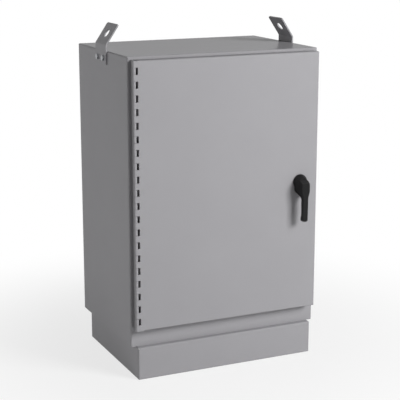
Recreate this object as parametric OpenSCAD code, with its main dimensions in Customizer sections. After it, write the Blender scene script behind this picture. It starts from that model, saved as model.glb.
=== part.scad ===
// Free-standing single-door sheet-steel control cabinet on a plinth, in millimetres.
// Origin: centre of the floor anchor pattern, on the floor. +Z is up and the door faces -Y.

/* [Body] */
// Outside width of the folded body
body_w = 762; // [500:1:1000]
// Outside depth of the folded body, without the door
body_d = 515; // [380:1:700]
// Outside height of the folded body, without the plinth
body_h = 1067; // [800:1:1500]
// Sheet thickness of the body and the door
sheet_t = 2; // [1.5:0.1:3]
// Outside radius of the body's folded edges
body_bend_r = 6; // [4:0.5:10]
// Width of the front flange between the body's side and the door opening
flange_w = 52; // [48:1:80]
// Forward reach of the lip round the door opening
lip_h = 28; // [15:1:32]

/* [Plinth] */
// Height of the plinth under the body
plinth_h = 125; // [80:1:250]
// Sheet thickness of the plinth
plinth_t = 3; // [2:0.5:5]
// Outside radius of the plinth's folded edges
plinth_bend_r = 5; // [4:0.5:8]
// Step from the body's sides and back in to the plinth
plinth_inset = 21; // [10:1:40]
// Reach of the plinth's front face ahead of the body's front
plinth_forward = 22; // [0:1:40]
// Width of the plinth's inward top and bottom flanges
plinth_flange = 48; // [44:1:70]
// Hole for a floor anchor bolt
anchor_hole_d = 14; // [10:1:18]
// Distance from the plinth's outside faces to the anchor holes
anchor_edge = 28; // [22:1:34]
// Relief hole at the plinth's folded corners
corner_relief_d = 6; // [3:0.5:8]
// Thread of the bolts that join the plinth to the body
plinth_bolt_d = 10; // [8:1:14]
// Spacing of those bolts along the depth
plinth_bolt_pitch = 320; // [200:10:380]

/* [Cable entry] */
// Width of the gland plate
gland_w = 440; // [250:5:560]
// Depth of the gland plate
gland_d = 240; // [150:5:320]
// Thickness of the gland plate
gland_t = 2.5; // [2:0.1:4]
// Overlap of the gland plate on the floor
gland_lap = 25; // [18:1:40]
// Thickness of the seal under the gland plate
gland_seal_t = 3; // [2:0.5:5]
// Thread of the gland plate's screws
gland_screw_d = 6; // [4:1:8]

/* [Mounting panel] */
// Clearance between the panel's sides and the door opening
panel_side_clear = 9; // [5:0.5:60]
// Clearance between the panel's ends and the door opening
panel_end_clear = 10.5; // [5:0.5:100]
// Thickness of the equipment panel
panel_t = 3; // [2:0.5:5]
// Depth of the panel's folded side edges
panel_fold = 12; // [6:1:18]
// Standoff of the panel from the back wall
panel_standoff = 20; // [18:1:40]
// Thread of the panel studs and of the earth stud
stud_d = 10; // [8:1:12]
// Collar of the panel studs
collar_d = 24; // [18:1:30]
// Distance from the panel's edges to its studs
panel_stud_edge = 40; // [25:1:80]
// Distance from the body's side to the earth stud
earth_side = 90; // [40:1:150]
// Height of the earth stud above the body's floor
earth_up = 60; // [40:1:70]

/* [Lifting eyes] */
// Width of a lifting strap along the cabinet's depth
eye_w = 109; // [80:1:130]
// Thickness of a lifting strap
eye_t = 5; // [4:0.5:8]
// Overlap of a strap on the side wall
eye_lap = 48; // [42:1:80]
// Upright height of a strap above the roof
eye_rise = 20; // [10:1:50]
// Length of the leaning part of a strap
eye_len = 84; // [65:1:120]
// Lean of that part towards the cabinet's middle, in degrees
eye_lean = 34; // [10:1:45]
// Inside radius of a strap's bend
eye_bend_r = 6; // [4:0.5:12]
// Lifting hole
eye_hole_d = 32; // [20:1:36]
// Distance from the bend to the lifting hole
eye_hole_up = 42; // [32:1:60]
// Radius of a strap's top corners
eye_corner_r = 9; // [4:1:20]
// Thread of a strap's bolts
eye_bolt_d = 12; // [8:1:14]
// Spacing of a strap's two bolts
eye_bolt_pitch = 58; // [40:1:76]
// Depth of those bolts below the roof
eye_bolt_down = 26; // [20:1:32]
// Step of the straps from the body's middle towards the door
eye_forward = 7; // [0:1:40]

/* [Door] */
// Reach of the door's face ahead of the body's front
door_reach = 43; // [38:1:60]
// Gap between the body's side and the door's latch edge
door_side_gap = 15; // [6:1:25]
// Gap between the roof and the door's top edge
door_top_gap = 10; // [6:1:25]
// Height of the body's front that shows below the door
strip_h = 72; // [40:1:120]
// Outside radius of the door's folded edges
door_bend_r = 5; // [4:0.5:8]
// Clearance between the door's folded edges and the body's front
door_back_gap = 4; // [3:0.5:8]
// Width of the door's seal
seal_w = 11; // [8:1:12]
// Clearance between the seal and the body's lip
seal_gap = 0.3; // [0.2:0.05:1]
// Width of the folded stile behind the hinge
stile_w = 15; // [10:1:16]

/* [Hinge] */
// Number of knuckles along the door, odd so that both ends belong to the door
knuckle_n = 41; // [21:2:61]
// Outside diameter of the hinge barrel
barrel_d = 13; // [11:0.5:14]
// Diameter of the hinge pin
pin_d = 8; // [6:0.5:8]
// Running clearance between the pin and the knuckles, on the radius
pin_fit = 0.05; // [0.02:0.01:0.1]
// Clearance between neighbouring knuckles
knuckle_gap = 0.9; // [0.3:0.1:1.2]
// Thickness of the hinge leaves
leaf_t = 2.5; // [2:0.1:3]
// Step from the body's side in to the barrel
barrel_inset = 4.5; // [2:0.5:8]
// Open slot between the barrel and the door beside the body's knuckles
slot_w = 7; // [5:0.5:10]
// Width of the door leaf's strip, welded flush to the door's face
leaf_strip_w = 12; // [10:0.5:13]
// Foot of the body leaf on the body's front
leaf_foot_w = 26; // [15:1:30]

/* [Latch] */
// Distance from the door's latch edge to the handle's axis
handle_edge = 74; // [72:1:120]
// Height of the handle's axis above the door's middle
handle_up = 7; // [-100:1:100]
// Width of the channel that stiffens the latch side
channel_w = 64; // [56:1:64]
// Sheet thickness of that channel
channel_t = 2.5; // [2:0.1:3]
// Clearance between the channel's ends and the door opening
channel_end = 12; // [8:1:40]
// Diameter of the latch spindle
spindle_d = 16; // [14:1:18]
// Running clearance of the spindle in its bearing, on the radius
spindle_fit = 0.06; // [0.02:0.01:0.1]
// Thickness of the latch cam
cam_t = 5; // [4:0.5:6]
// Distance from the spindle's axis to the cam's drive pins
cam_r = 24; // [20:1:26]
// Diameter of the cam's drive pins
cam_pin_d = 6; // [4:0.5:8]
// Reach of the cam's pawl behind the body's flange
pawl_lap = 10; // [5:1:20]
// Width of the pawl
pawl_w = 22; // [14:1:26]
// Running gap between latch pieces that pass each other
latch_gap = 0.8; // [0.4:0.1:1]
// Width of a latch rod
rod_w = 16; // [14:1:18]
// Thickness of a latch rod
rod_t = 6; // [5:0.5:8]
// Diameter of a rod's end roller
roller_d = 18; // [16:1:22]
// Width of a rod's end roller
roller_w = 7.4; // [5:0.1:8]
// Diameter of a roller's axle
axle_d = 5; // [4:0.5:6]
// Reach of a roller's axis behind the body's flange
rod_lap = 10; // [6:1:20]
// Height of a rod guide
guide_h = 26; // [18:1:40]
// Wall of a rod guide beside the rod
guide_wall = 4; // [3:0.5:4]
// Clearance of a rod in its guides
guide_fit = 0.4; // [0.3:0.05:0.6]
// Thread of the screws that hold the guides
guide_screw_d = 2.5; // [2:0.5:2.5]

/* [Handle] */
// Diameter of the handle's hub at the door
hub_d = 56; // [48:1:64]
// Diameter of the hub's front end
hub_front_d = 36; // [30:1:48]
// Reach of the hub ahead of the door
hub_reach = 26; // [24:1:34]
// Depth of the spindle's socket in the hub, from the door
socket_depth = 21; // [16:1:22]
// Thickness of the fixed rose behind the hub
rose_t = 4; // [3:0.5:8]
// Length of the lever below the hub's axis
lever_len = 147; // [110:1:200]
// Reach of the lever's front ahead of the door
lever_reach = 50; // [46:1:60]
// Thickness of the lever's arm
lever_t = 14; // [10:0.5:15]
// Width of the lever's head at the door
lever_head_w = 52; // [40:1:56]
// Width of the head's front face
lever_face_w = 30; // [26:1:40]
// Width of the lever's arm
lever_arm_w = 22; // [16:1:26]

/* [Print pocket] */
// Width of the print pocket inside the door
pocket_w = 300; // [200:5:360]
// Height of the print pocket
pocket_h = 280; // [150:5:320]
// Depth of the print pocket
pocket_d = 30; // [20:1:34]
// Wall of the print pocket
pocket_t = 2; // [1.5:0.5:3]
// Drop of the pocket's middle below the handle's axis
pocket_down = 60; // [0:5:120]

/* [Hidden] */
$fn = 48;
eps = 1;
// Clearance of a bolt in its hole, on the diameter
hole_clear = 1;
// Thread that shows past a nut
thread_out = 3;
// Gap left for a weld between two sheets of the door
weld_gap = 0.3;
// Body and plinth planes
body_x = body_w / 2;
plinth_w = body_w - 2 * plinth_inset;
plinth_d = body_d + plinth_forward - plinth_inset;
front_y = plinth_forward - plinth_d / 2;
back_y = front_y + body_d;
floor_z = plinth_h;
roof_z = plinth_h + body_h;
// Door opening in the body's front
open_x = body_x - flange_w;
open_top = roof_z - flange_w;
open_bottom = floor_z + strip_h + flange_w - door_top_gap;
// Door planes
face_y = front_y - door_reach;
door_in_y = face_y + sheet_t;
door_back_y = front_y - door_back_gap;
door_right = body_x - door_side_gap;
door_top = roof_z - door_top_gap;
door_bottom = floor_z + strip_h;
door_h = door_top - door_bottom;
// Hinge axis at the front left edge of the door
hinge_x = barrel_inset + barrel_d / 2 - body_x;
hinge_y = face_y + barrel_d / 2;
door_left = hinge_x + barrel_d / 2 + slot_w;
skin_left = door_left + leaf_strip_w;
knuckle_h = door_h / knuckle_n;
// Latch axis and the layers behind it
handle_x = door_right - handle_edge;
handle_z = (door_top + door_bottom) / 2 + handle_up;
flange_in_y = front_y + sheet_t;
cam_y = flange_in_y + latch_gap;
web_y = cam_y - latch_gap - channel_t;
rod_y = cam_y + cam_t + latch_gap;
// Latch rods: the cam's pins start 45 degrees from level and swing to 45 degrees past it
cam_start = 45;
pin_rise = cam_r * sin(cam_start);
rod_x = cam_r * (1 + cos(cam_start)) / 2;
rod_travel = 2 * pin_rise;
// Largest difference between a straight slide and the pins' swing, as a share of the cam's radius
pin_stray = 0.031;
yoke_clear = 0.5;
yoke_slot_h = cam_pin_d + 2 * (pin_stray * cam_r + yoke_clear);
yoke_slot_w = cam_r * (1 - cos(cam_start)) + cam_pin_d + 2 * yoke_clear;
yoke_wall = 4;
// Flat left at the ends of the yoke's slot
slot_flat = 0.5;
yoke_w = yoke_slot_w + 2 * yoke_wall;
yoke_h = yoke_slot_h + 2 * yoke_wall;
fork_w = roller_w + 2 * guide_fit;
fork_wall = 4;
fork_depth = roller_d / 2 + fork_wall;
roller_y = rod_y + rod_t / 2;
rod_top = open_top + rod_lap;
rod_bottom = open_bottom - rod_lap;
channel_top = open_top - channel_end;
channel_bottom = open_bottom + channel_end;
// Guides sit clear of the roller's travel and of the yoke
guide_far = rod_travel + roller_d + guide_h + channel_end;
guide_near = 110;
guide_w = rod_w + 2 * (guide_fit + guide_wall);
guide_y = web_y + channel_t;
guide_back = rod_y + rod_t + guide_fit + guide_wall;
// Heights of the rods' rollers, from the handle's axis
upper_tip = rod_top - handle_z;
lower_tip = handle_z - rod_bottom;
// Metal round the cam's holes and reach of its pins past the rods
cam_hub_wall = 7;
cam_arm_wall = 5;
pin_out = 2;
// Hex sizes follow the thread
function hex_af(d) = 1.6 * d;
function nut_h(d) = 0.8 * d;
function head_h(d) = 0.65 * d;
washer_t = 2;
// Fasteners of the spindle
spindle_end_d = 8;
sleeve_wall = 5;
sleeve_d = spindle_d + 2 * sleeve_wall;
sleeve_len = 14;
rose_nut_af = 1.4 * sleeve_d;
rose_nut_h = 8;
// Lifting straps
eye_y = (front_y + back_y) / 2 - eye_forward;
// Panel and its studs
panel_w = 2 * (open_x - panel_side_clear);
panel_h = open_top - open_bottom - 2 * panel_end_clear;
panel_y = back_y - sheet_t - panel_standoff - panel_t;
panel_z = (open_top + open_bottom) / 2;
panel_stud_x = panel_w / 2 - panel_stud_edge;
panel_stud_z = panel_h / 2 - panel_stud_edge;
// Earth stud on the back wall, below the panel
earth_x = earth_side - body_x;
earth_z = floor_z + earth_up;
earth_len = 30;
// Gland plate
gland_y = front_y + body_d / 2;
gland_z = floor_z + sheet_t + gland_seal_t;
gland_screw_edge = gland_lap / 2;
gland_screw_len = 12;
// Plinth bolts on the side flanges
plinth_bolt_x = plinth_w / 2 - plinth_flange / 2;
plinth_bolt_y = gland_y;
// Print pocket
pocket_x = (door_left + handle_x - channel_w / 2) / 2;
pocket_z = handle_z - pocket_down;
// Earth stud on the door, below the pocket
door_stud_d = stud_d - 2;
door_stud_up = 90;
door_stud_len = 20;
door_stud_hex_h = 6;
// Back of the hub and the lever, clear of the rose
hub_back = rose_t + latch_gap / 2;
// Lever outline, from the hub's axis down: round head, neck and arm
head_drop = 9;
neck_from = 29;
neck_len = 20;
tip_r = 6;
edge_n = 30;
// Lever front: a brow slopes out of the hub to the front face, which sags a little to the tip
brow_top = 17;
brow_out = 18;
brow_foot = 1;
brow_round = 3;
sag_from = 60;
sag = 2;
// Lever back: it leaves the door below the head, and a foot at the tip turns towards the door
back_from = 32;
back_len = 26;
foot_from = lever_len - 22;
foot_len = 12;
foot_turn = 4;
side_n = 40;

// Flat plate with rounded corners, centred on the origin
module round_rect(w, h, r) {
  square([w - 2 * r, h], center = true);
  square([w, h - 2 * r], center = true);
  for (sx = [-1, 1], sy = [-1, 1])
    translate([sx * (w / 2 - r), sy * (h / 2 - r)]) circle(r);
}

// Closed box with folded edges of one radius, standing on z = 0
module folded_box(w, d, h, r) {
  intersection() {
    linear_extrude(h) round_rect(w, d, r);
    translate([0, d / 2, h / 2]) rotate([90, 0, 0]) linear_extrude(d) round_rect(w, h, r);
    translate([-w / 2, 0, h / 2]) rotate([90, 0, 90]) linear_extrude(w) round_rect(d, h, r);
  }
}

// Box given by its low and high corners
module box(low, high) {
  translate(low) cube(high - low);
}

// Round rod from a point along +Y
module rod_along_y(x, y, z, d, len) {
  translate([x, y, z]) rotate([-90, 0, 0]) cylinder(d = d, h = len);
}

// Round rod from a point along +X
module rod_along_x(x, y, z, d, len) {
  translate([x, y, z]) rotate([0, 90, 0]) cylinder(d = d, h = len);
}

// Hexagon prism standing on z = 0
module hex(af, h) {
  cylinder(d = af / cos(30), h = h, $fn = 6);
}

// Nut with its washer, standing on z = 0
module washered_nut(d) {
  difference() {
    union() {
      cylinder(d = 2 * d, h = washer_t);
      translate([0, 0, washer_t]) hex(hex_af(d), nut_h(d));
    }
    translate([0, 0, -eps]) cylinder(d = d, h = washer_t + nut_h(d) + 2 * eps);
  }
}

// Hex bolt with its head above z = 0 and its shank below
module hex_bolt(d, len) {
  hex(hex_af(d), head_h(d));
  translate([0, 0, -len]) cylinder(d = d, h = len + head_h(d) / 2);
}

module at_plinth_bolts() {
  for (sx = [-1, 1], sy = [-1, 1])
    translate([sx * plinth_bolt_x, plinth_bolt_y + sy * plinth_bolt_pitch / 2, 0]) children();
}

module at_gland_screws() {
  for (sx = [-1, 0, 1], sy = [-1, 1])
    translate([sx * (gland_w / 2 - gland_screw_edge), gland_y + sy * (gland_d / 2 - gland_screw_edge), 0])
      children();
}

module at_eye_bolts() {
  for (side = [-1, 1], sy = [-1, 1])
    translate([side * body_x, eye_y + sy * eye_bolt_pitch / 2, roof_z - eye_bolt_down])
      rotate([0, side * 90, 0]) children();
}

module at_panel_studs() {
  for (sx = [-1, 1], sz = [-1, 1])
    translate([sx * panel_stud_x, back_y - sheet_t, panel_z + sz * panel_stud_z])
      rotate([90, 0, 0]) children();
}

// Welded and folded box with a front flange and a lip that keeps water out
module body_shell() {
  color([0.62, 0.62, 0.63])
  difference() {
    union() {
      difference() {
        translate([0, (front_y + back_y) / 2, floor_z - body_bend_r])
          folded_box(body_w, body_d, body_h + body_bend_r, body_bend_r);
        box([-body_x - eps, front_y - eps, floor_z - body_bend_r - eps],
            [body_x + eps, back_y + eps, floor_z]);
        translate([0, (front_y + back_y) / 2, floor_z + sheet_t])
          folded_box(body_w - 2 * sheet_t, body_d - 2 * sheet_t, body_h - 2 * sheet_t, body_bend_r - sheet_t);
      }
      box([-open_x - sheet_t, front_y - lip_h, open_bottom - sheet_t],
          [open_x + sheet_t, flange_in_y, open_top + sheet_t]);
    }
    box([-open_x, front_y - lip_h - eps, open_bottom], [open_x, flange_in_y + eps, open_top]);
    translate([0, 0, floor_z - eps]) at_plinth_bolts()
      cylinder(d = plinth_bolt_d + hole_clear, h = sheet_t + 2 * eps);
    translate([0, gland_y, floor_z - eps]) linear_extrude(sheet_t + 2 * eps)
      square([gland_w - 2 * gland_lap, gland_d - 2 * gland_lap], center = true);
    translate([0, 0, floor_z - eps]) at_gland_screws()
      cylinder(d = gland_screw_d + hole_clear, h = sheet_t + 2 * eps);
    at_eye_bolts() translate([0, 0, -sheet_t - eps])
      cylinder(d = eye_bolt_d + hole_clear, h = sheet_t + 2 * eps);
  }
}

// Folded frame with inward flanges, open to the floor for the cables
module plinth() {
  color([0.60, 0.60, 0.61])
  difference() {
    folded_box(plinth_w, plinth_d, plinth_h, plinth_bend_r);
    translate([0, 0, plinth_t])
      folded_box(plinth_w - 2 * plinth_t, plinth_d - 2 * plinth_t, plinth_h - 2 * plinth_t,
                 plinth_bend_r - plinth_t);
    translate([0, 0, -eps]) linear_extrude(plinth_h + 2 * eps)
      square([plinth_w - 2 * plinth_flange, plinth_d - 2 * plinth_flange], center = true);
    for (sx = [-1, 1], sy = [-1, 1])
      translate([sx * (plinth_w / 2 - anchor_edge), sy * (plinth_d / 2 - anchor_edge), -eps])
        cylinder(d = anchor_hole_d, h = plinth_t + 2 * eps);
    for (sx = [-1, 1], sy = [-1, 1])
      translate([sx * (plinth_w / 2 - plinth_bend_r / 2), sy * (plinth_d / 2 - plinth_bend_r / 2),
                 plinth_h - plinth_bend_r])
        cylinder(d = corner_relief_d, h = plinth_bend_r + eps);
    translate([0, 0, plinth_h - plinth_t - eps]) at_plinth_bolts()
      cylinder(d = plinth_bolt_d + hole_clear, h = plinth_t + 2 * eps);
  }
}

module plinth_bolts() {
  color([0.75, 0.75, 0.76])
  translate([0, 0, floor_z + sheet_t]) at_plinth_bolts()
    hex_bolt(plinth_bolt_d, sheet_t + plinth_t + washer_t + nut_h(plinth_bolt_d) + thread_out);
}

module plinth_nuts() {
  color([0.72, 0.72, 0.73])
  translate([0, 0, floor_z - plinth_t]) at_plinth_bolts()
    mirror([0, 0, 1]) washered_nut(plinth_bolt_d);
}

// Removable plate over the cable entry in the floor
module gland_plate() {
  color([0.66, 0.66, 0.67])
  difference() {
    translate([0, gland_y, gland_z]) linear_extrude(gland_t) round_rect(gland_w, gland_d, gland_lap / 4);
    translate([0, 0, gland_z - eps]) at_gland_screws()
      cylinder(d = gland_screw_d + hole_clear, h = gland_t + 2 * eps);
  }
}

module gland_seal() {
  color([0.12, 0.12, 0.12])
  difference() {
    translate([0, gland_y, floor_z + sheet_t]) linear_extrude(gland_seal_t) difference() {
      square([gland_w, gland_d], center = true);
      square([gland_w - 2 * gland_lap, gland_d - 2 * gland_lap], center = true);
    }
    translate([0, 0, floor_z + sheet_t - eps]) at_gland_screws()
      cylinder(d = gland_screw_d + hole_clear, h = gland_seal_t + 2 * eps);
  }
}

module gland_screws() {
  color([0.76, 0.76, 0.77])
  translate([0, 0, gland_z + gland_t]) at_gland_screws()
    hex_bolt(gland_screw_d, gland_t + gland_seal_t + sheet_t + gland_screw_len);
}

module gland_nuts() {
  color([0.74, 0.74, 0.75])
  translate([0, 0, floor_z]) at_gland_screws()
    mirror([0, 0, 1]) washered_nut(gland_screw_d);
}

// White equipment panel with folded side edges, held off the back wall by collar studs
module mounting_panel() {
  color([0.92, 0.92, 0.90])
  difference() {
    union() {
      box([-panel_w / 2, panel_y, panel_z - panel_h / 2],
          [panel_w / 2, panel_y + panel_t, panel_z + panel_h / 2]);
      for (sx = [-1, 1])
        translate([sx * (panel_w - panel_t) / 2, panel_y + panel_fold / 2, panel_z])
          cube([panel_t, panel_fold, panel_h], center = true);
    }
    at_panel_studs() translate([0, 0, panel_standoff - eps])
      cylinder(d = stud_d + hole_clear, h = panel_t + 2 * eps);
  }
}

module panel_studs() {
  color([0.78, 0.78, 0.78])
  at_panel_studs() {
    cylinder(d = collar_d, h = panel_standoff);
    cylinder(d = stud_d, h = panel_standoff + panel_t + washer_t + nut_h(stud_d) + thread_out);
  }
}

module panel_nuts() {
  color([0.74, 0.74, 0.75])
  at_panel_studs() translate([0, 0, panel_standoff + panel_t]) washered_nut(stud_d);
}

module earth_stud() {
  color([0.80, 0.68, 0.42])
  rod_along_y(earth_x, back_y - sheet_t - earth_len, earth_z, stud_d, earth_len);
}

module earth_nuts() {
  color([0.80, 0.70, 0.46])
  translate([earth_x, back_y - sheet_t, earth_z]) rotate([90, 0, 0]) washered_nut(stud_d);
}

// One lifting strap against the right wall: upright part, bend and leaning part with its hole
module lifting_strap() {
  bend_x = body_x - eye_bend_r;
  lean_z = roof_z + eye_rise;
  bend_step = eye_lean / 8;
  root = eye_corner_r;
  lean = [-sin(eye_lean), cos(eye_lean)];
  function on_bend(r, a) = [bend_x, lean_z] + r * [cos(a), sin(a)];
  difference() {
    union() {
      translate([0, eye_y + eye_w / 2, 0]) rotate([90, 0, 0]) linear_extrude(eye_w) polygon(concat(
        [[body_x, roof_z - eye_lap], [body_x + eye_t, roof_z - eye_lap]],
        [for (a = [0:bend_step:eye_lean]) on_bend(eye_bend_r + eye_t, a)],
        [on_bend(eye_bend_r + eye_t, eye_lean) + root * lean, on_bend(eye_bend_r, eye_lean) + root * lean],
        [for (a = [eye_lean:-bend_step:0]) on_bend(eye_bend_r, a)]
      ));
      translate([bend_x, eye_y, lean_z]) rotate([0, -eye_lean, 0]) translate([eye_bend_r, 0, 0])
        rotate([90, 0, 90]) linear_extrude(eye_t) {
          translate([-eye_w / 2, root / 2]) square([eye_w, eye_len - eye_corner_r - root / 2]);
          translate([eye_corner_r - eye_w / 2, root / 2])
            square([eye_w - 2 * eye_corner_r, eye_len - root / 2]);
          for (sy = [-1, 1])
            translate([sy * (eye_w / 2 - eye_corner_r), eye_len - eye_corner_r]) circle(eye_corner_r);
        }
    }
    translate([bend_x, eye_y, lean_z]) rotate([0, -eye_lean, 0])
      rod_along_x(eye_bend_r - eps, 0, eye_hole_up, eye_hole_d, eye_t + 2 * eps);
    for (sy = [-1, 1])
      rod_along_x(body_x - eps, eye_y + sy * eye_bolt_pitch / 2, roof_z - eye_bolt_down,
                  eye_bolt_d + hole_clear, eye_t + 2 * eps);
  }
}

module lifting_eye_left() {
  color([0.58, 0.58, 0.60]) mirror([1, 0, 0]) lifting_strap();
}

module lifting_eye_right() {
  color([0.58, 0.58, 0.60]) lifting_strap();
}

module lifting_eye_bolts() {
  color([0.74, 0.74, 0.76])
  at_eye_bolts() translate([0, 0, eye_t])
    hex_bolt(eye_bolt_d, eye_t + sheet_t + washer_t + nut_h(eye_bolt_d) + thread_out);
}

module lifting_eye_nuts() {
  color([0.72, 0.72, 0.74])
  at_eye_bolts() translate([0, 0, -sheet_t]) mirror([0, 0, 1]) washered_nut(eye_bolt_d);
}

// Bore of the hinge along the whole barrel
module hinge_bore() {
  translate([hinge_x, hinge_y, door_bottom - eps])
    cylinder(d = pin_d + 2 * pin_fit, h = door_h + 2 * eps);
}

// Knuckles that start at the given place in the row, every second one
module knuckles(first) {
  for (k = [first:2:knuckle_n - 1])
    translate([hinge_x, hinge_y, door_bottom + k * knuckle_h + knuckle_gap / 2])
      cylinder(d = barrel_d, h = knuckle_h - knuckle_gap);
}

// Continuous hinge leaf on the body: an angle with its foot on the front flange
module hinge_body_leaf() {
  leaf_x = hinge_x + barrel_d / 2;
  clear_y = hinge_y + barrel_d / 2 + latch_gap;
  color([0.60, 0.60, 0.61])
  difference() {
    union() {
      knuckles(1);
      for (k = [1:2:knuckle_n - 1])
        box([leaf_x - leaf_t, hinge_y, door_bottom + k * knuckle_h + knuckle_gap / 2],
            [leaf_x, clear_y + eps, door_bottom + (k + 1) * knuckle_h - knuckle_gap / 2]);
      box([leaf_x - leaf_t, clear_y, door_bottom], [leaf_x, front_y, door_top]);
      box([leaf_x - leaf_t, front_y - leaf_t, door_bottom], [leaf_x + leaf_foot_w, front_y, door_top]);
    }
    hinge_bore();
  }
}

module hinge_pin() {
  color([0.70, 0.70, 0.72])
  translate([hinge_x, hinge_y, door_bottom]) cylinder(d = pin_d, h = door_h);
}

// Continuous hinge leaf on the door: straps from its knuckles to a strip flush with the face
module hinge_door_leaf() {
  color([0.62, 0.62, 0.63])
  difference() {
    union() {
      knuckles(0);
      for (k = [0:2:knuckle_n - 1])
        box([hinge_x, face_y, door_bottom + k * knuckle_h + knuckle_gap / 2],
            [door_left + eps, face_y + leaf_t, door_bottom + (k + 1) * knuckle_h - knuckle_gap / 2]);
      box([door_left, face_y, door_bottom], [skin_left, face_y + leaf_t, door_top]);
    }
    hinge_bore();
  }
}

// Folded door pan: three edges are folded back, the hinge edge is welded to the hinge leaf
module door_skin() {
  reach_left = 2 * door_bend_r;
  skin_w = door_right - skin_left + reach_left;
  skin_x = door_right - skin_w / 2;
  depth = door_back_y - face_y + 2 * door_bend_r;
  color([0.64, 0.64, 0.65])
  difference() {
    translate([skin_x, face_y + depth / 2, door_bottom]) folded_box(skin_w, depth, door_h, door_bend_r);
    translate([skin_x, face_y + depth / 2 + sheet_t, door_bottom + sheet_t])
      folded_box(skin_w - 2 * sheet_t, depth, door_h - 2 * sheet_t, door_bend_r - sheet_t);
    box([skin_left - reach_left - eps, face_y - eps, door_bottom - eps],
        [skin_left, door_back_y + depth, door_top + eps]);
    box([skin_left - eps, door_back_y, door_bottom - eps],
        [door_right + eps, door_back_y + depth, door_top + eps]);
    rod_along_y(handle_x, face_y - eps, handle_z, sleeve_d + hole_clear, sheet_t + 2 * eps);
  }
}

// Folded stile that closes the door's hinge edge, backs the welded seam and is capped at both ends
module door_stile() {
  stile_y = face_y + leaf_t;
  color([0.62, 0.62, 0.63])
  union() {
    box([door_left, stile_y, door_bottom], [door_left + sheet_t, door_back_y, door_top]);
    box([door_left, stile_y, door_bottom + door_bend_r],
        [door_left + stile_w, stile_y + sheet_t, door_top - door_bend_r]);
    for (end_z = [door_bottom, door_top - sheet_t])
      box([door_left, stile_y, end_z], [skin_left - weld_gap, door_back_y, end_z + sheet_t]);
  }
}

// Foam seal on the door, in line with the body's lip
module door_seal() {
  seal_x = open_x + sheet_t / 2;
  seal_low = open_bottom - sheet_t / 2;
  seal_high = open_top + sheet_t / 2;
  color([0.13, 0.13, 0.13])
  difference() {
    box([-seal_x - seal_w / 2, door_in_y, seal_low - seal_w / 2],
        [seal_x + seal_w / 2, front_y - lip_h - seal_gap, seal_high + seal_w / 2]);
    box([-seal_x + seal_w / 2, door_in_y - eps, seal_low + seal_w / 2],
        [seal_x - seal_w / 2, front_y - lip_h, seal_high - seal_w / 2]);
  }
}

// Channel that stiffens the latch side and carries the latch
module latch_channel() {
  color([0.62, 0.62, 0.63])
  difference() {
    box([handle_x - channel_w / 2, door_in_y, channel_bottom],
        [handle_x + channel_w / 2, web_y + channel_t, channel_top]);
    box([handle_x - channel_w / 2 + channel_t, door_in_y - eps, channel_bottom - eps],
        [handle_x + channel_w / 2 - channel_t, web_y, channel_top + eps]);
    rod_along_y(handle_x, web_y - eps, handle_z, spindle_d + hole_clear, channel_t + 2 * eps);
    at_guide_screws() translate([0, 0, -eps])
      cylinder(d = guide_screw_d + guide_fit, h = channel_t + 2 * eps);
  }
}

// Places of the four rod guides: two on each rod
function guide_places() = [
  [handle_x + rod_x, handle_z + guide_near],
  [handle_x + rod_x, open_top - guide_far],
  [handle_x - rod_x, handle_z - guide_near],
  [handle_x - rod_x, open_bottom + guide_far]
];

// Screws beside the rods, along +Z of each place, from the channel's inside
module at_guide_screws() {
  for (place = guide_places(), sx = [-1, 1])
    translate([place[0] + sx * (guide_w - guide_wall) / 2, web_y, place[1]]) rotate([-90, 0, 0]) children();
}

// Nylon blocks that the rods slide in
module rod_guides() {
  color([0.10, 0.10, 0.11])
  difference() {
    for (place = guide_places())
      difference() {
        box([place[0] - guide_w / 2, guide_y, place[1] - guide_h / 2],
            [place[0] + guide_w / 2, guide_back, place[1] + guide_h / 2]);
        box([place[0] - rod_w / 2 - guide_fit, rod_y - guide_fit, place[1] - guide_h / 2 - eps],
            [place[0] + rod_w / 2 + guide_fit, guide_back - guide_wall, place[1] + guide_h / 2 + eps]);
      }
    at_guide_screws() cylinder(d = guide_screw_d + guide_fit, h = guide_back - web_y + eps);
  }
}

module guide_screws() {
  color([0.74, 0.74, 0.75])
  at_guide_screws() {
    cylinder(d = guide_screw_d, h = guide_back - web_y);
    translate([0, 0, guide_back - web_y]) cylinder(d = 2 * guide_screw_d, h = 0.6 * guide_screw_d);
  }
}

// Fixed black rose with the threaded sleeve that bears the spindle
module handle_rose() {
  color([0.06, 0.06, 0.06])
  difference() {
    union() {
      rod_along_y(handle_x, face_y - rose_t, handle_z, hub_d, rose_t);
      rod_along_y(handle_x, face_y - eps, handle_z, sleeve_d, sleeve_len + eps);
    }
    rod_along_y(handle_x, face_y - rose_t - eps, handle_z, spindle_d + 2 * spindle_fit,
                rose_t + sleeve_len + 2 * eps);
  }
}

module rose_nut() {
  color([0.74, 0.74, 0.75])
  translate([handle_x, door_in_y, handle_z]) rotate([-90, 0, 0]) difference() {
    hex(rose_nut_af, rose_nut_h);
    translate([0, 0, -eps]) cylinder(d = sleeve_d, h = rose_nut_h + 2 * eps);
  }
}

// Moulded pocket for the drawings, open at the top
module print_pocket() {
  color([0.80, 0.80, 0.78])
  difference() {
    box([pocket_x - pocket_w / 2, door_in_y, pocket_z - pocket_h / 2],
        [pocket_x + pocket_w / 2, door_in_y + pocket_d, pocket_z + pocket_h / 2]);
    box([pocket_x - pocket_w / 2 + pocket_t, door_in_y + pocket_t, pocket_z - pocket_h / 2 + pocket_t],
        [pocket_x + pocket_w / 2 - pocket_t, door_in_y + pocket_d - pocket_t, pocket_z + pocket_h / 2 + eps]);
  }
}

module door_earth_stud() {
  color([0.80, 0.68, 0.42])
  union() {
    rod_along_y(pocket_x, door_in_y, door_bottom + door_stud_up, door_stud_d, door_stud_len);
    translate([pocket_x, door_in_y, door_bottom + door_stud_up]) rotate([-90, 0, 0])
      hex(hex_af(door_stud_d), door_stud_hex_h);
  }
}

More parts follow.
